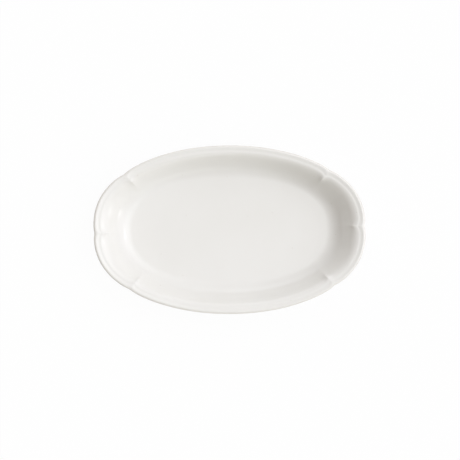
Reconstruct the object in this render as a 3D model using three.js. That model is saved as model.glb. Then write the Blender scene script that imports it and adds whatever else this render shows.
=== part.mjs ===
// Oval plate with a lobed, beaded rim, in millimetres, +Z up and +X along its length.
// The origin is the middle of the plane that the foot rests on.
import * as THREE from "three";

const { degToRad, lerp, smoothstep } = THREE.MathUtils;

// Plan of the rim: a full oval with two long lobes and four end lobes, parted by six notches.
const plateLength = 300;
const plateWidth = 186;
const ovalFullness = 2.34; // exponent of the oval, where 2 is a plain ellipse
const longLobeRise = 4.9; // crown of a long lobe over the oval
const endLobeRise = 0.8; // crown of an end lobe over the oval
const cornerNotchAngle = degToRad(29.3); // from the long axis to a corner notch
const notchTurn = degToRad(1.2); // the notches sit turned by this on the oval
const notchDip = 0.8; // depth of a notch in the outer edge
const notchWidth = 4.5;

// Ribs that run in from the notches, measured inwards from the outer edge.
const ribReach = 2;
const ribWidth = 2.6;
const ribRound = 0.5; // softness of a rib's crest
const ribStart = 0.5;
const ribFullFrom = 4.5;
const ribFullTo = 9;
const ribEnd = 18; // where a rib has died out on the wall

// The well, whose flat floor is an oval.
const wellLength = 216;
const wellWidth = 115;
const wellFullness = 2.3;
const wallSkew = degToRad(5.5); // turns the wall's lines towards square with the rim

// Section through the rim and the wall, measured inwards from the outer edge and up from the table.
const plateHeight = 31.5;
const lipThickness = 3.2;
const grooveInset = 6.4;
const grooveDrop = 0.85; // below the top of the lip
const grooveFall = degToRad(2.5); // how steeply the surface falls inwards there
const beadInset = 8.1;
const beadDrop = 1.09;
const beadFall = degToRad(14);
const endCrestHold = 0.34; // share of the wall over which the bead's fall carries, at the plate's ends
const sideCrestHold = 0.26; // the same at the plate's sides
const endCoveHold = 0.5; // share of the wall over which the cove runs out into the floor, at the ends
const sideCoveHold = 0.6;
const lipHold = 0.2; // share of the groove's outer slope over which the top of the lip carries
const grooveHold = 0.4; // the same for the bottom of the groove, on both its slopes
const wallThickness = 5;
const backStart = 0.2; // share of the wall's curve at which the back leaves the lip
const backEnd = 0.88; // share of the wall's curve at which the back meets the foot

// The foot, a ring of bare ceramic under the edge of the well.
const footWidth = 6;
const footDraft = 0.5;
const footEase = 0.6; // bevel beside the resting face
const glazeLine = 1.4; // height of the bare band at the foot
const footRecess = 2.8; // height of the base inside the foot
const baseThickness = 4.8; // from that base to the floor of the well
const baseCove = 1.6;

// The glaze and the fine seat between it and the ceramic.
const glazeThickness = 0.35;
const glazeSeat = 0.08;

// Facets.
const wallSteps = 7;
const grooveSteps = 2;
const lipSteps = 4;
const backSteps = 4;
const notchSteps = 5; // facets on each side of a notch
const notchSpan = 9; // faceted closely this far to each side of a notch
const notchCrowding = 1.5; // how much closer the facets lie at the notch itself
const longLobeSteps = 12;
const endLobeSteps = 4;

const bareCeramic = new THREE.MeshStandardMaterial({ name: "bare_ceramic", color: 0xe6e0d4, roughness: 0.75 });
const whiteGlaze = new THREE.MeshStandardMaterial({ name: "white_glaze", color: 0xe9e8e3, roughness: 0.12 });

const fullTurn = 2 * Math.PI;
const halfTurn = Math.PI;
const halfLength = plateLength / 2;
const halfWidth = plateWidth / 2;
const glazeCover = glazeThickness + glazeSeat;
const floorHeight = footRecess + baseThickness;

const notchAngles = [
  0,
  cornerNotchAngle,
  halfTurn - cornerNotchAngle,
  halfTurn,
  halfTurn + cornerNotchAngle,
  fullTurn - cornerNotchAngle,
].map((angle) => angle + notchTurn);

// Radius of the plain oval along a direction from the middle.
function ovalRadius(angle) {
  const along = Math.abs(Math.cos(angle) / halfLength) ** ovalFullness;
  const across = Math.abs(Math.sin(angle) / (halfWidth - longLobeRise)) ** ovalFullness;
  return (along + across) ** (-1 / ovalFullness);
}

// Crown of the lobe that starts at the given notch, from 0 at its ends to its rise in the middle.
function lobeCrown(notch, share) {
  const isLong = notch % 3 === 1;
  return (isLong ? longLobeRise : endLobeRise) * Math.sin(halfTurn * share);
}

// A soft dent, 1 at the middle and nearly 0 two widths away.
function dent(distance, width) {
  return 1 / Math.cosh(distance / width) ** 2;
}

// How far a rib swells inwards beside a notch, with a crest that is nearly sharp.
function ribAt(distance) {
  return ribReach * Math.exp((ribRound - Math.hypot(distance, ribRound)) / ribWidth);
}

// Draws a cosine or sine out from a plain ellipse to the fuller oval of the well.
function filled(value) {
  return Math.sign(value) * Math.abs(value) ** (2 / wellFullness);
}

// One line across the wall, from the rim to the edge of the well.
function wallLine(angle, notch, share) {
  const oval = ovalRadius(angle);
  const nearest = share < 0.5 ? notch : (notch + 1) % notchAngles.length;
  const turn = angle - notchAngles[nearest];
  const distance = oval * Math.atan2(Math.sin(turn), Math.cos(turn));
  const radius = oval + lobeCrown(notch, share) - notchDip * dent(distance, notchWidth);
  const rim = new THREE.Vector2(radius * Math.cos(angle), radius * Math.sin(angle));
  const bearing = Math.atan2(rim.y / halfWidth, rim.x / halfLength);
  const wellBearing = bearing - wallSkew * Math.sin(2 * bearing);
  const well = new THREE.Vector2(
    (wellLength / 2) * filled(Math.cos(wellBearing)),
    (wellWidth / 2) * filled(Math.sin(wellBearing)),
  );
  const span = rim.distanceTo(well);
  const inwards = well.sub(rim).divideScalar(span);
  const rib = ribAt(distance);
  const sideShare = Math.sin(wellBearing) ** 2;
  const crestHold = lerp(endCrestHold, sideCrestHold, sideShare);
  const coveHold = lerp(endCoveHold, sideCoveHold, sideShare);
  return { rim, inwards, span, rib, crestHold, coveHold };
}

// The wall lines all round, close together at the notches and wider apart along the lobes.
function wallLines() {
  const lines = [];
  notchAngles.forEach((start, notch) => {
    const next = notchAngles[(notch + 1) % notchAngles.length];
    const sweep = (next - start + fullTurn) % fullTurn;
    const fromStart = notchSpan / ovalRadius(start);
    const fromEnd = sweep - notchSpan / ovalRadius(next);
    const lobeSteps = notch % 3 === 1 ? longLobeSteps : endLobeSteps;
    const turns = [];
    for (let step = 0; step < notchSteps; step += 1) {
      turns.push(fromStart * (step / notchSteps) ** notchCrowding);
    }
    for (let step = 0; step < lobeSteps; step += 1) {
      turns.push(lerp(fromStart, fromEnd, step / lobeSteps));
    }
    for (let step = notchSteps; step > 0; step -= 1) {
      turns.push(lerp(sweep, fromEnd, (step / notchSteps) ** notchCrowding));
    }
    turns.forEach((turn) => lines.push(wallLine(start + turn, notch, turn / sweep)));
  });
  return lines;
}

const lines = wallLines();

// A curve in the section that leaves and arrives falling at the given angles.
function fallingCurve(from, to, startFall, endFall, startHold, endHold) {
  const run = to.x - from.x;
  const leave = new THREE.Vector2(1, -Math.tan(startFall)).multiplyScalar(startHold * run);
  const arrive = new THREE.Vector2(1, -Math.tan(endFall)).multiplyScalar(endHold * run);
  return new THREE.CubicBezierCurve(from, leave.add(from), arrive.negate().add(to), to);
}

// Finished surface from the edge of the well, over the rim and down the back to the glaze line.
function coatSection({ span, crestHold, coveHold }) {
  const lipRadius = lipThickness / 2;
  const lipTop = new THREE.Vector2(lipRadius, plateHeight);
  const groove = new THREE.Vector2(grooveInset, plateHeight - grooveDrop);
  const bead = new THREE.Vector2(beadInset, plateHeight - beadDrop);
  const wellEdge = new THREE.Vector2(span, floorHeight);
  const wall = fallingCurve(bead, wellEdge, beadFall, 0, crestHold, coveHold);
  const beadSlope = fallingCurve(groove, bead, grooveFall, beadFall, grooveHold, grooveHold);
  const lipSlope = fallingCurve(lipTop, groove, 0, grooveFall, lipHold, grooveHold);
  const lipMiddle = plateHeight - lipRadius;
  const lip = new THREE.EllipseCurve(lipRadius, lipMiddle, lipRadius, lipRadius, halfTurn / 2, halfTurn * 1.5);
  const back = [];
  for (let step = 0; step <= backSteps; step += 1) {
    const share = lerp(backStart, backEnd, step / backSteps);
    const heading = wall.getTangent(share);
    const below = new THREE.Vector2(heading.y, -heading.x).multiplyScalar(wallThickness);
    back.push(wall.getPoint(share).add(below));
  }
  const footTop = back[backSteps];
  const footDrop = (footTop.y - glazeLine) / footTop.y;
  const coatEnd = new THREE.Vector2(footTop.x + footDraft * footDrop, glazeLine);
  return [
    ...wall.getPoints(wallSteps).reverse(),
    ...beadSlope.getPoints(grooveSteps).reverse().slice(1),
    ...lipSlope.getPoints(grooveSteps).reverse().slice(1),
    ...lip.getPoints(lipSteps).slice(1),
    ...back,
    coatEnd,
  ];
}

// Finished surface from the glaze line inside the foot to the edge of the flat base.
function baseSection(footTop) {
  const innerSide = footTop.x + footWidth;
  return [
    new THREE.Vector2(innerSide, glazeLine),
    new THREE.Vector2(innerSide + footDraft, footRecess - baseCove / 2),
    new THREE.Vector2(innerSide + footDraft + baseCove, footRecess),
  ];
}

// The same surface sunk into the plate by a depth. Level ends stay level.
function sink(section, depth, levelStart, levelEnd) {
  const last = section.length - 1;
  return section.map((point, index) => {
    const before = section[Math.max(index - 1, 0)];
    const after = section[Math.min(index + 1, last)];
    const heading = after.clone().sub(before).normalize();
    const inside = new THREE.Vector2(-heading.y, heading.x);
    if (index === 0 && levelStart) inside.set(0, -1);
    if (index === last && levelEnd) inside.set(0, 1);
    return point.clone().addScaledVector(inside, depth);
  });
}

// Where a section point on a wall line lies. Ribs swell at the bead and die out down the wall.
function place(line, point) {
  const swell = smoothstep(point.x, ribStart, ribFullFrom) - smoothstep(point.x, ribFullTo, ribEnd);
  const spot = line.rim.clone().addScaledVector(line.inwards, point.x + line.rib * swell);
  return new THREE.Vector3(spot.x, spot.y, point.y);
}

// Rings of points all round for one kind of section, one ring per section point.
function rings(sectionOf) {
  const sections = lines.map(sectionOf);
  return sections[0].map((_, row) => lines.map((line, index) => place(line, sections[index][row])));
}

// A ring drawn in towards the middle, and the middle point itself.
function innerRings(ring) {
  const height = ring[0].z;
  const middle = new THREE.Vector3(0, 0, height);
  return [ring.map((point) => point.clone().lerp(middle, 0.5)), [middle]];
}

// A closed surface made of sheets of rings. A single point stands for a ring on the axis. Every sheet is
// split into triangles the same way, so that sheets one above the other stay clear of each other.
function closedSurface(sheets) {
  const points = [];
  const faces = [];
  sheets.forEach(({ ringList, facesIn }) => {
    ringList.forEach((ring, row) => {
      const start = points.length;
      points.push(...ring);
      if (row === 0) return;
      const before = ringList[row - 1];
      const from = (index) => start - before.length + (index % before.length);
      const to = (index) => start + (index % ring.length);
      lines.forEach((_, index) => {
        const corners = [];
        if (ring.length > 1) corners.push([from(index), to(index), to(index + 1)]);
        if (before.length > 1) corners.push([from(index), to(index + 1), from(index + 1)]);
        corners.forEach((face) => faces.push(...(facesIn ? face.reverse() : face)));
      });
    });
  });
  const geometry = new THREE.BufferGeometry().setFromPoints(points);
  geometry.setIndex(faces);
  geometry.computeVertexNormals();
  return geometry;
}

function named(name, geometry, material) {
  const mesh = new THREE.Mesh(geometry, material);
  mesh.name = name;
  return mesh;
}

function footTopOf(line) {
  return coatSection(line).at(-2);
}

// The glaze over the well, the wall, the rim and the back, ending on the outer side of the foot.
function glazeCoat() {
  const outer = rings((line) => coatSection(line));
  const inner = rings((line) => sink(coatSection(line), glazeThickness, true, false));
  return closedSurface([
    { ringList: [...innerRings(outer[0]).reverse(), ...outer], facesIn: false },
    { ringList: [...innerRings(inner[0]).reverse(), ...inner], facesIn: true },
    { ringList: [outer.at(-1), inner.at(-1)], facesIn: false },
  ]);
}

// The glaze on the base, inside the foot.
function baseGlaze() {
  const outer = rings((line) => baseSection(footTopOf(line)));
  const inner = rings((line) => sink(baseSection(footTopOf(line)), glazeThickness, false, true));
  return closedSurface([
    { ringList: [inner[0], outer[0]], facesIn: false },
    { ringList: [...outer, ...innerRings(outer.at(-1))], facesIn: false },
    { ringList: [...inner, ...innerRings(inner.at(-1))], facesIn: true },
  ]);
}

// The resting face of the foot and the bevels beside it.
function footSection(outerSide, innerSide) {
  return [
    new THREE.Vector2(outerSide, footEase),
    new THREE.Vector2(outerSide + footEase, 0),
    new THREE.Vector2(innerSide - footEase, 0),
    new THREE.Vector2(innerSide, footEase),
  ];
}

// The fired ceramic: well, wall, rim and foot in one piece.
function ceramicBody() {
  const whole = rings((line) => {
    const coat = sink(coatSection(line), glazeCover, true, false);
    const base = sink(baseSection(footTopOf(line)), glazeCover, false, true);
    return [...coat, ...footSection(coat.at(-1).x, base[0].x), ...base];
  });
  const ringList = [...innerRings(whole[0]).reverse(), ...whole, ...innerRings(whole.at(-1))];
  return closedSurface([{ ringList, facesIn: false }]);
}

const group = new THREE.Group();
group.name = "oval_plate";
group.add(
  named("ceramic_body", ceramicBody(), bareCeramic),
  named("glaze_coat", glazeCoat(), whiteGlaze),
  named("base_glaze", baseGlaze(), whiteGlaze),
);

export default group;
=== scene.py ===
import math
import bpy
import bmesh
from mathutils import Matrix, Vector


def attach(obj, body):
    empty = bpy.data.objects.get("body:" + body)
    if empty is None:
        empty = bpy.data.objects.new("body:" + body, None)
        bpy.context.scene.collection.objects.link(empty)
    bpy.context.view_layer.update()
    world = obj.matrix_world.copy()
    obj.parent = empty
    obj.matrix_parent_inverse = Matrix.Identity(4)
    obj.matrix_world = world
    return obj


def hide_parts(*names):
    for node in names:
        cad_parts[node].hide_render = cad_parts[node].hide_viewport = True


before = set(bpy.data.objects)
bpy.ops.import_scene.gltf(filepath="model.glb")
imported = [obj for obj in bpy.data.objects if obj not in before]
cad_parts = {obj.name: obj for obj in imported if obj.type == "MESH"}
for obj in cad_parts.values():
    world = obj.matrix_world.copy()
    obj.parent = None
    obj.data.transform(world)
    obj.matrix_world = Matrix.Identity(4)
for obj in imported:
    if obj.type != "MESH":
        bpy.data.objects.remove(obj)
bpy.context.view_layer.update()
scene = bpy.context.scene
scene.view_settings.view_transform = "Standard"
mm = 0.001  # sizes below are in millimetres
fullTurn = 2 * math.pi
print("frame loaded")

# rim outline from above, its notches and the ribs that run in from them
rimShape = {
    "length": 300.0,
    "width": 186.0,
    "inset": 0.001,  # a hair inside the solid's box
    "fullness": 2.34,  # 2 would be a plain ellipse
    "longLobeRise": 4.9,
    "endLobeRise": 0.8,
    "longLobes": (1, 4),  # counted from 0, round from the notch at the right end
    "cornerNotch": 29.3,  # degrees from the long axis
    "notchTurn": 1.2,  # degrees that the notches sit turned on the oval
    "notchDip": 0.8,
    "notchWidth": 4.5,
    "ribReach": 2.0,
    "ribWidth": 2.6,
    "ribRound": 0.5,  # softness of a rib's crest
    "ribStart": 0.5,
    "ribFull": (4.5, 9.0),
    "ribEnd": 18.0,
    "ridgeRound": 10.0,  # the notches' ridges soften over this width lower on the wall
    "ridgeFade": (13.0, 32.0),
}

# flat floor of the plate
wellShape = {
    "length": 216.0,
    "width": 115.0,
    "fullness": 2.3,
    "skew": 5.5,  # degrees, squares the wall's lines up with the rim
}

# section through rim, wall and foot: inwards from the edge, up from the table, falls in degrees
section = {
    "height": 31.5,
    "lipThickness": 3.2,
    "lipReach": 2.2,  # from the edge in to the crest
    "grooveInset": 6.4,
    "grooveDrop": 0.85,
    "grooveFall": 2.5,
    "beadInset": 8.1,
    "beadDrop": 1.09,
    "beadFall": 14.0,
    "crestHold": (0.34, 0.26),  # at the ends and at the sides
    "coveHold": (0.5, 0.6),
    "lipHold": 0.2,
    "grooveHold": 0.4,
    "wallThickness": 5.0,
    "underHold": 1 / 3,  # share of the way from lip to back over which the under side bends
    "backStart": 0.2,  # shares of the wall that the back follows
    "backEnd": 0.88,
    "footWidth": 6.0,
    "footDraft": 0.5,
    "footEase": 0.6,
    "filletStart": 0.83,  # where the back turns down into the foot
    "footFillet": 1.3,
    "glazeLine": 1.4,
    "footRecess": 2.8,
    "baseThickness": 4.8,
    "baseCove": 1.6,
    "coveStart": 0.35,  # share of the foot's inner side where its cove begins
    "glaze": 0.35,
    "seat": 0.08,
    "thinAndShadeReach": 1.1,  # reach of the darker tone on the lip's edge: glaze thinning there, widened as painted shade along the lip's outer side
}

# how finely the plate is cut, round the rim and along the section
cuts = {
    "notchSpan": 10.0,
    "notch": 12,
    "crowding": 1.5,  # closer cuts at a notch itself
    "longLobe": 84,
    "endLobe": 24,
    "wall": 30,
    "slope": 7,
    "lip": 12,
    "underLip": 4,
    "back": 14,
    "fillet": 4,
    "cove": 5,
    "ease": 3,
}


def notchTurns():
    corner = rimShape["cornerNotch"]
    spots = [0, corner, 180 - corner, 180, 180 + corner, 360 - corner]
    return [math.radians(spot + rimShape["notchTurn"]) for spot in spots]


def ovalRadius(angle):
    power = rimShape["fullness"]
    along = abs(math.cos(angle) / (rimShape["length"] / 2)) ** power
    across = abs(math.sin(angle) / (rimShape["width"] / 2 - rimShape["longLobeRise"])) ** power
    return (along + across) ** (-1 / power)


def softDent(distance, width):
    return 1 / math.cosh(distance / width) ** 2


def ribAt(distance):
    soft = rimShape["ribRound"]
    return rimShape["ribReach"] * math.exp((soft - math.hypot(distance, soft)) / rimShape["ribWidth"])


def smoothStep(value, low, high):
    share = min(max((value - low) / (high - low), 0), 1)
    return share * share * (3 - 2 * share)


def filled(value):
    return math.copysign(abs(value) ** (2 / wellShape["fullness"]), value)


# one line across the wall, from the rim to the edge of the well
def wallLine(start, turn, sweep, rise, lean):
    angle = start + turn
    oval = ovalRadius(angle)
    distance = oval * min(turn, sweep - turn)
    dip = rimShape["notchDip"] * softDent(distance, rimShape["notchWidth"])
    radius = oval + rise * math.sin(math.pi * turn / sweep) - dip - rimShape["inset"]
    edge = Vector((radius * math.cos(angle), radius * math.sin(angle)))
    bearing = math.atan2(edge.y / rimShape["width"], edge.x / rimShape["length"])
    bearing -= math.radians(wellShape["skew"]) * math.sin(2 * bearing)
    across = wellShape["width"] / 2 * filled(math.sin(bearing))
    well = Vector((wellShape["length"] / 2 * filled(math.cos(bearing)), across))
    span = (well - edge).length
    return {
        "edge": edge,
        "inwards": (well - edge) / span,
        "span": span,
        "side": math.sin(bearing) ** 2,
        "rib": ribAt(distance),
        "ridge": dip + lean * rimShape["ridgeRound"] * math.exp(-distance / rimShape["ridgeRound"]),
    }


# lines all round, crowded at the notches
def roundLines():
    turns = notchTurns()
    ends = turns[1:] + turns[:1]
    sweeps = [(end - start) % fullTurn for start, end in zip(turns, ends)]
    isLong = [notch in rimShape["longLobes"] for notch in range(len(turns))]
    rises = [rimShape["longLobeRise"] if long else rimShape["endLobeRise"] for long in isLong]
    climbs = [math.pi * rise / sweep for rise, sweep in zip(rises, sweeps)]
    leans = []  # how sharply the lobes meet at each notch
    for notch, start in enumerate(turns):
        leans.append((climbs[notch - 1] + climbs[notch]) / 2 / ovalRadius(start))
    crowd = [(step / cuts["notch"]) ** cuts["crowding"] for step in range(cuts["notch"] + 1)]
    lines = []
    for notch, start in enumerate(turns):
        sweep = sweeps[notch]
        near = cuts["notchSpan"] / ovalRadius(start)
        far = cuts["notchSpan"] / ovalRadius(ends[notch])
        lobe = cuts["longLobe"] if isLong[notch] else cuts["endLobe"]
        steps = [near * share for share in crowd[:-1]]
        steps += [near + (sweep - far - near) * step / lobe for step in range(lobe)]
        steps += [sweep - far * share for share in crowd[:0:-1]]
        for turn in steps:
            lean = leans[notch] if turn < sweep / 2 else leans[(notch + 1) % len(turns)]
            lines.append(wallLine(start, turn, sweep, rises[notch], lean))
    return lines


def curveAt(points, t):
    while len(points) > 1:
        points = [a.lerp(b, t) for a, b in zip(points, points[1:])]
    return points[0]


def curvePoints(points, count):
    return [curveAt(points, step / count) for step in range(count + 1)]


# handles of a curve that leaves and arrives at the given falls
def fallHandles(start, end, startFall, endFall, startHold, endHold):
    run = end.x - start.x
    leave = Vector((1, -math.tan(math.radians(startFall)))) * startHold * run
    arrive = Vector((1, -math.tan(math.radians(endFall)))) * endHold * run
    return [start, start + leave, end - arrive, end]


def floorHeight():
    return section["footRecess"] + section["baseThickness"]


def beadPoint():
    return Vector((section["beadInset"], section["height"] - section["beadDrop"]))


def between(pair, share):
    return pair[0] + (pair[1] - pair[0]) * share


def wallHandles(line):
    wellEdge = Vector((line["span"], floorHeight()))
    crest = between(section["crestHold"], line["side"])
    cove = between(section["coveHold"], line["side"])
    return fallHandles(beadPoint(), wellEdge, section["beadFall"], 0, crest, cove)


curveStep = 0.001  # to either side of a point, for its heading


# spot on the back behind the wall, with the way that the wall heads there
def backPoint(wall, t):
    ahead = (curveAt(wall, t + curveStep) - curveAt(wall, t - curveStep)).normalized()
    return curveAt(wall, t) + Vector((ahead.y, -ahead.x)) * section["wallThickness"], ahead


def footTop(line):
    return backPoint(wallHandles(line), section["backEnd"])[0]


# glazed face from the edge of the well over the rim and down the back
def coatProfile(line):
    lipRadius = section["lipThickness"] / 2
    lipMiddle = Vector((section["lipReach"], section["height"] - lipRadius))
    lipTop = Vector((section["lipReach"], section["height"]))
    groove = Vector((section["grooveInset"], section["height"] - section["grooveDrop"]))
    wall = wallHandles(line)
    hold = section["grooveHold"]
    beadSlope = fallHandles(groove, wall[0], section["grooveFall"], section["beadFall"], hold, hold)
    lipSlope = fallHandles(lipTop, groove, 0, section["grooveFall"], section["lipHold"], hold)
    face = curvePoints(wall, cuts["wall"])[::-1]
    face += curvePoints(beadSlope, cuts["slope"])[::-1][1:]
    face += curvePoints(lipSlope, cuts["slope"])[::-1][1:]
    for step in range(1, cuts["lip"] + 1):
        turn = math.pi * (0.5 + step / cuts["lip"])
        face.append(lipMiddle + Vector((math.cos(turn) * section["lipReach"], math.sin(turn) * lipRadius)))
    backStart, heading = backPoint(wall, section["backStart"])
    reach = (backStart - face[-1]).length * section["underHold"]
    under = [face[-1], face[-1] + Vector((reach, 0)), backStart - heading * reach, backStart]
    face += curvePoints(under, cuts["underLip"])[1:]
    for step in range(1, cuts["back"] + 1):
        share = between((section["backStart"], section["filletStart"]), step / cuts["back"])
        face.append(backPoint(wall, share)[0])
    top = footTop(line)
    side = Vector((section["footDraft"], -top.y)).normalized()
    face += curvePoints([face[-1], top, top + side * section["footFillet"]], cuts["fillet"])[1:]
    down = (top.y - section["glazeLine"]) / top.y
    face.append(Vector((top.x + section["footDraft"] * down, section["glazeLine"])))
    return face


# glazed base, from the glaze line inside the foot to the flat
def baseProfile(line):
    inner = footTop(line).x + section["footWidth"]
    low = Vector((inner, section["glazeLine"]))
    corner = Vector((inner + section["footDraft"], section["footRecess"]))
    flat = corner + Vector((section["baseCove"], 0))
    return [low] + curvePoints([low.lerp(corner, section["coveStart"]), corner, flat], cuts["cove"])


# resting face of the foot with its eased edges
def footProfile(outer, inner):
    ease = section["footEase"]
    outerEdge = [Vector((outer, ease)), Vector((outer, 0)), Vector((outer + ease, 0))]
    innerEdge = [Vector((inner - ease, 0)), Vector((inner, 0)), Vector((inner, ease))]
    return curvePoints(outerEdge, cuts["ease"]) + curvePoints(innerEdge, cuts["ease"])


# the same line sunk into the plate, with level ends where a flat goes on
def sink(points, depth, levelStart, levelEnd):
    sunk = []
    for index, point in enumerate(points):
        before = points[max(index - 1, 0)]
        after = points[min(index + 1, len(points) - 1)]
        heading = (after - before).normalized()
        inside = Vector((-heading.y, heading.x))
        if index == 0 and levelStart:
            inside = Vector((0, -1))
        if index == len(points) - 1 and levelEnd:
            inside = Vector((0, 1))
        sunk.append(point + inside * depth)
    return sunk


def bodyProfile(line):
    cover = section["glaze"] + section["seat"]
    coat = sink(coatProfile(line), cover, True, False)
    base = sink(baseProfile(line), cover, False, True)
    return coat + footProfile(coat[-1].x, base[0].x) + base


# where a point of the section lies on the plate, seen from above
def spotOn(line, point):
    swell = smoothStep(point.x, rimShape["ribStart"], rimShape["ribFull"][0])
    swell -= smoothStep(point.x, rimShape["ribFull"][1], rimShape["ribEnd"])
    ease = smoothStep(point.x, *rimShape["ridgeFade"]) * max(1 - point.x / line["span"], 0)
    return line["edge"] + line["inwards"] * (point.x + line["rib"] * swell - line["ridge"] * ease)


lines = roundLines()
flatShares = [0.25, 0.5, 0.75]  # rings across a flat middle
mergeGap = 1e-7  # metres


# spins a section into a round dish, then draws every ring out to the lobed oval
def spunPiece(profileOf, flatStart, flatEnd):
    sections = [profileOf(line) for line in lines]
    first = sections[0]
    stations = [(row, 1.0) for row in range(len(first))]
    if flatStart:
        stations = [(0, share) for share in [0.0] + flatShares] + stations
    if flatEnd:
        stations += [(len(first) - 1, share) for share in flatShares[::-1] + [0.0]]
    bm = bmesh.new()
    stationLayer = bm.verts.layers.int.new("station")
    thinAndShadeLayer = bm.verts.layers.float.new("thinGlazeAndShade")
    reach = rimShape["length"] / 2
    profile = []
    for index, (row, share) in enumerate(stations):
        vert = bm.verts.new(((reach - first[row].x) * share * mm, 0, first[row].y * mm))
        vert[stationLayer] = index
        profile.append(vert)
    edges = [bm.edges.new(pair) for pair in zip(profile, profile[1:])]
    bmesh.ops.spin(bm, geom=profile + edges, cent=(0, 0, 0), axis=(0, 0, 1), dvec=(0, 0, 0),
                   angle=fullTurn, steps=len(lines), use_merge=True)
    for vert in bm.verts:
        row, share = stations[vert[stationLayer]]
        turn = math.atan2(vert.co.y, vert.co.x) % fullTurn
        index = round(turn / fullTurn * len(lines)) % len(lines)
        point = sections[index][row]
        spot = spotOn(lines[index], point) * share
        vert.co = (spot.x * mm, spot.y * mm, point.y * mm)
        # marks the lip's edge for the darker tone, partly glaze thinning there and partly painted shade
        vert[thinAndShadeLayer] = softDent(point.x, section["thinAndShadeReach"])
    bmesh.ops.remove_doubles(bm, verts=bm.verts, dist=mergeGap)
    bmesh.ops.recalc_face_normals(bm, faces=bm.faces)
    return bm


def faceOutwards(bm, up):
    middle = min(bm.faces, key=lambda face: face.calc_center_median().to_2d().length)
    if middle.normal.z * up < 0:
        bmesh.ops.reverse_faces(bm, faces=bm.faces)


def pieceFrom(bm, name, material, node):
    mesh = bpy.data.meshes.new(name)
    for face in bm.faces:
        face.smooth = True
    bm.to_mesh(mesh)
    bm.free()
    mesh.materials.append(material)
    piece = bpy.data.objects.new(name, mesh)
    scene.collection.objects.link(piece)
    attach(piece, "root")
    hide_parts(node)
    print(name, "made with", len(mesh.polygons), "faces")
    return piece


def addThickness(piece):
    wall = piece.modifiers.new("thickness", "SOLIDIFY")
    wall.thickness = section["glaze"] * mm
    wall.offset = -1


def addNode(tree, kind, **values):
    node = tree.nodes.new(kind)
    for key, value in values.items():
        setattr(node, key, value)
    return node


# a socket is linked, any other value is set
def feed(tree, socket, value):
    if isinstance(value, bpy.types.NodeSocket):
        tree.links.new(value, socket)
    else:
        socket.default_value = value


def addMath(tree, operation, *values):
    node = addNode(tree, "ShaderNodeMath", operation=operation)
    for socket, value in zip(node.inputs, values):
        feed(tree, socket, value)
    return node.outputs[0]


def newMaterial(name):
    material = bpy.data.materials.new(name)
    material.use_nodes = True
    tree = material.node_tree
    where = addNode(tree, "ShaderNodeTexCoord").outputs["Object"]
    return material, tree, tree.nodes["Principled BSDF"], where


def addNoise(tree, where, look):
    noise = addNode(tree, "ShaderNodeTexNoise")
    for socket, value in (("Vector", where), ("Scale", look["scale"]), ("Detail", look["detail"])):
        feed(tree, noise.inputs[socket], value)
    return noise.outputs["Fac"]


def addRange(tree, value, fromLow, fromHigh, toLow, toHigh):
    fit = addNode(tree, "ShaderNodeMapRange")
    sockets = ("Value", "From Min", "From Max", "To Min", "To Max")
    for socket, entry in zip(sockets, (value, fromLow, fromHigh, toLow, toHigh)):
        feed(tree, fit.inputs[socket], entry)
    return fit.outputs["Result"]


# the mix node repeats its socket names, so its colour sockets go by number
def addMix(tree, share, first, second):
    mix = addNode(tree, "ShaderNodeMix", data_type="RGBA")
    for socket, value in ((0, share), (6, first), (7, second)):
        feed(tree, mix.inputs[socket], value)
    return mix.outputs[2]


def addBump(tree, height, depth, below=None):
    bump = addNode(tree, "ShaderNodeBump")
    feed(tree, bump.inputs["Distance"], depth * mm)
    feed(tree, bump.inputs["Height"], height)
    if below:
        feed(tree, bump.inputs["Normal"], below)
    return bump.outputs["Normal"]


# glassy white glaze: slow drift in tone, a darker lip edge that is partly glaze thinning there and partly
# painted shade, rare specks, a trace of ripple
glazeLook = {
    "pale": (0.818, 0.805, 0.768, 1),
    "deep": (0.801, 0.787, 0.748, 1),
    # darker tone of the lip's edge: glaze thinning over the clay, and painted shade of the lip's outer side
    "thinAndShadeTone": (0.76, 0.735, 0.68, 1),
    "speck": (0.7, 0.67, 0.61, 1),
    "drift": {"scale": 11.0, "detail": 3},  # scales are per metre
    "driftRange": (0.35, 0.65),
    "speckScale": 42.0,
    "speckSize": (0.012, 0.024),  # full tone inside the first, none beyond the second
    "speckLimit": 0.7,  # higher for fewer specks
    "roughness": (0.025, 0.05),
    "ripple": {"scale": 28.0, "detail": 1, "depth": 0.02},
    "peel": {"scale": 420.0, "detail": 2, "depth": 0.0015},
    "refraction": 1.52,
}


def addSpecks(tree, where):
    cells = addNode(tree, "ShaderNodeTexVoronoi", voronoi_dimensions="2D")
    feed(tree, cells.inputs["Scale"], glazeLook["speckScale"])
    feed(tree, cells.inputs["Vector"], where)
    spot = addRange(tree, cells.outputs["Distance"], *glazeLook["speckSize"], 1, 0)
    split = addNode(tree, "ShaderNodeSeparateColor")
    feed(tree, split.inputs["Color"], cells.outputs["Color"])
    rare = addMath(tree, "GREATER_THAN", split.outputs["Red"], glazeLook["speckLimit"])
    return addMath(tree, "MULTIPLY", spot, rare)


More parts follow.
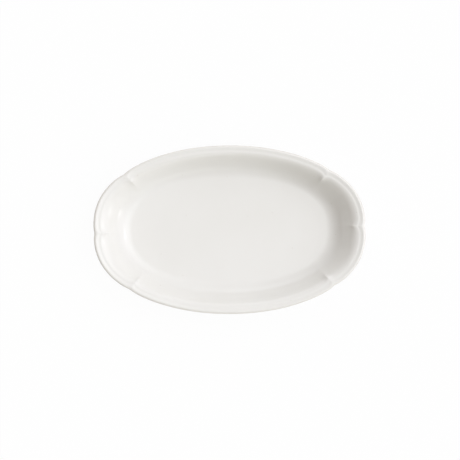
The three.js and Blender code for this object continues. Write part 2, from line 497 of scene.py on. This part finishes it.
def whiteGlaze():
    look = glazeLook
    material, tree, shader, where = newMaterial("whiteGlaze")
    drift = addNoise(tree, where, look["drift"])
    tone = addMix(tree, addRange(tree, drift, *look["driftRange"], 0, 1), look["deep"], look["pale"])
    edge = addNode(tree, "ShaderNodeAttribute", attribute_name="thinGlazeAndShade")
    # darkens the lip's edge: partly glaze thinning there, partly painted shade
    tone = addMix(tree, edge.outputs["Fac"], tone, look["thinAndShadeTone"])
    tone = addMix(tree, addSpecks(tree, where), tone, look["speck"])
    gloss = addRange(tree, drift, *look["driftRange"], *look["roughness"])
    ripple = addBump(tree, addNoise(tree, where, look["ripple"]), look["ripple"]["depth"])
    peel = addBump(tree, addNoise(tree, where, look["peel"]), look["peel"]["depth"], ripple)
    feed(tree, shader.inputs["Base Color"], tone)
    feed(tree, shader.inputs["Roughness"], gloss)
    feed(tree, shader.inputs["Normal"], peel)
    feed(tree, shader.inputs["IOR"], look["refraction"])
    return material


# bare fired clay of the foot, scuffed grey where it slides on the table
clayLook = {
    "pale": (0.79, 0.745, 0.66, 1),
    "deep": (0.7, 0.64, 0.545, 1),
    "scuff": (0.56, 0.53, 0.48, 1),
    "grain": {"scale": 900.0, "detail": 4, "depth": 0.05},
    "grainRange": (0.35, 0.65),
    "scuffs": {"scale": 60.0, "detail": 3},
    "scuffRange": (0.45, 0.7),
    "scuffMost": 0.8,
    "scuffHeight": (0.1, 0.5),  # full below the first, none above the second
    "glossRange": (0.3, 0.7),
    "roughness": (0.7, 0.88),
}


def bareClay():
    look = clayLook
    material, tree, shader, where = newMaterial("bareClay")
    grain = addNoise(tree, where, look["grain"])
    tone = addMix(tree, addRange(tree, grain, *look["grainRange"], 0, 1), look["deep"], look["pale"])
    split = addNode(tree, "ShaderNodeSeparateXYZ")
    feed(tree, split.inputs["Vector"], where)
    heights = [height * mm for height in look["scuffHeight"]]
    low = addRange(tree, split.outputs["Z"], *heights, 1, 0)
    patch = addRange(tree, addNoise(tree, where, look["scuffs"]), *look["scuffRange"], 0, look["scuffMost"])
    tone = addMix(tree, addMath(tree, "MULTIPLY", low, patch), tone, look["scuff"])
    gloss = addRange(tree, grain, *look["glossRange"], *look["roughness"])
    feed(tree, shader.inputs["Base Color"], tone)
    feed(tree, shader.inputs["Roughness"], gloss)
    feed(tree, shader.inputs["Normal"], addBump(tree, grain, look["grain"]["depth"]))
    return material


glazeMaterial = whiteGlaze()
clayMaterial = bareClay()

coatMesh = spunPiece(coatProfile, True, False)
faceOutwards(coatMesh, 1)
addThickness(pieceFrom(coatMesh, "glazeCoat", glazeMaterial, "glaze_coat"))

baseMesh = spunPiece(baseProfile, False, True)
faceOutwards(baseMesh, -1)
addThickness(pieceFrom(baseMesh, "baseGlaze", glazeMaterial, "base_glaze"))

bodyMesh = spunPiece(bodyProfile, True, True)
pieceFrom(bodyMesh, "ceramicBody", clayMaterial, "ceramic_body")

# floor, white to the camera with a trace of shadow
floorLook = {
    "colour": (0.84, 0.84, 0.835, 1),
    "white": 0.96,  # the rest is left to the shadow
    "size": 30.0,  # metres from the middle
    "drop": 0.05,  # below the foot
}


def paleFloor():
    bm = bmesh.new()
    bmesh.ops.create_grid(bm, x_segments=1, y_segments=1, size=floorLook["size"])
    bmesh.ops.translate(bm, verts=bm.verts, vec=(0, 0, -floorLook["drop"] * mm))
    mesh = bpy.data.meshes.new("floor")
    bm.to_mesh(mesh)
    bm.free()
    floor = bpy.data.objects.new("floor", mesh)
    scene.collection.objects.link(floor)
    material = bpy.data.materials.new("paleFloor")
    material.use_nodes = True
    tree = material.node_tree
    tree.nodes.remove(tree.nodes["Principled BSDF"])
    matte = addNode(tree, "ShaderNodeBsdfDiffuse")
    feed(tree, matte.inputs["Color"], floorLook["colour"])
    glow = addNode(tree, "ShaderNodeEmission")
    feed(tree, glow.inputs["Color"], (1, 1, 1, 1))
    path = addNode(tree, "ShaderNodeLightPath").outputs
    seen = addMath(tree, "ADD", path["Is Camera Ray"], path["Is Glossy Ray"])
    seen = addMath(tree, "ADD", seen, path["Is Transmission Ray"])
    seen.node.use_clamp = True
    mix = addNode(tree, "ShaderNodeMixShader")
    share = addMath(tree, "MULTIPLY", seen, floorLook["white"])
    for socket, value in zip(mix.inputs, (share, matte.outputs[0], glow.outputs[0])):
        feed(tree, socket, value)
    feed(tree, tree.nodes["Material Output"].inputs["Surface"], mix.outputs[0])
    mesh.materials.append(material)
    print("floor laid")


paleFloor()

# soft studio light: a dim room with broad glows in it and two small bright ones
skyLook = {
    "room": (0.105, 0.066, 0.038),
    "glows": [
        {"azimuth": 0.0, "elevation": 64.0, "tightness": 7.0, "colour": (1.935, 2.03, 2.12)},
        {"azimuth": 60.0, "elevation": 64.0, "tightness": 7.0, "colour": (0.475, 0.495, 0.5)},
        {"azimuth": 12.0, "elevation": 38.0, "tightness": 7.0, "colour": (0.8, 0.8, 0.93)},
        {"azimuth": 102.0, "elevation": 12.0, "tightness": 7.0, "colour": (1.8, 1.87, 1.93)},
        {"azimuth": 282.0, "elevation": 12.0, "tightness": 7.0, "colour": (1.25, 1.32, 1.26)},
        {"azimuth": 350.0, "elevation": 6.0, "tightness": 12.0, "colour": (0.57, 0.59, 0.63)},
        {"azimuth": 343.0, "elevation": 7.0, "tightness": 200.0, "colour": (2.8, 2.8, 2.8)},
        {"azimuth": 5.0, "elevation": 43.0, "tightness": 500.0, "colour": (5.5, 5.6, 5.8)},
    ],
}


def aim(azimuth, elevation):
    turn = math.radians(azimuth)
    lift = math.radians(elevation)
    return Vector((math.cos(lift) * math.cos(turn), math.cos(lift) * math.sin(turn), math.sin(lift)))


def softSky():
    world = bpy.data.worlds.new("softSky")
    scene.world = world
    world.use_nodes = True
    tree = world.node_tree
    where = addNode(tree, "ShaderNodeTexCoord").outputs["Generated"]
    room = addNode(tree, "ShaderNodeVectorMath", operation="ADD")
    feed(tree, room.inputs[0], skyLook["room"])
    light = room.outputs["Vector"]
    for glow in skyLook["glows"]:
        facing = addNode(tree, "ShaderNodeVectorMath", operation="DOT_PRODUCT")
        feed(tree, facing.inputs[0], where)
        feed(tree, facing.inputs[1], aim(glow["azimuth"], glow["elevation"]))
        tight = glow["tightness"]
        away = addMath(tree, "MULTIPLY_ADD", facing.outputs["Value"], tight, -tight)
        joined = addNode(tree, "ShaderNodeVectorMath", operation="MULTIPLY_ADD")
        for socket, value in zip(joined.inputs, (addMath(tree, "EXPONENT", away), glow["colour"], light)):
            feed(tree, socket, value)
        light = joined.outputs["Vector"]
    feed(tree, tree.nodes["Background"].inputs["Color"], light)


softSky()
print("light set")

# camera straight above, as the picture was taken
cameraView = {
    "distance": 2400.0,
    "frame": 507.15,  # width of the picture at the rim
    "offset": (0.5, -0.36),
    "turn": -0.35,  # degrees
    "sensor": 36,
    "clip": 100,  # metres
}


def overheadCamera():
    view = cameraView
    data = bpy.data.cameras.new("camera")
    data.sensor_width = view["sensor"]
    data.lens = view["sensor"] * view["distance"] / view["frame"]
    data.clip_end = view["clip"]
    holder = bpy.data.objects.new("camera", data)
    scene.collection.objects.link(holder)
    height = section["height"] + view["distance"]
    holder.location = (view["offset"][0] * mm, view["offset"][1] * mm, height * mm)
    holder.rotation_euler.z = math.radians(view["turn"])
    scene.camera = holder


overheadCamera()
print("camera set")
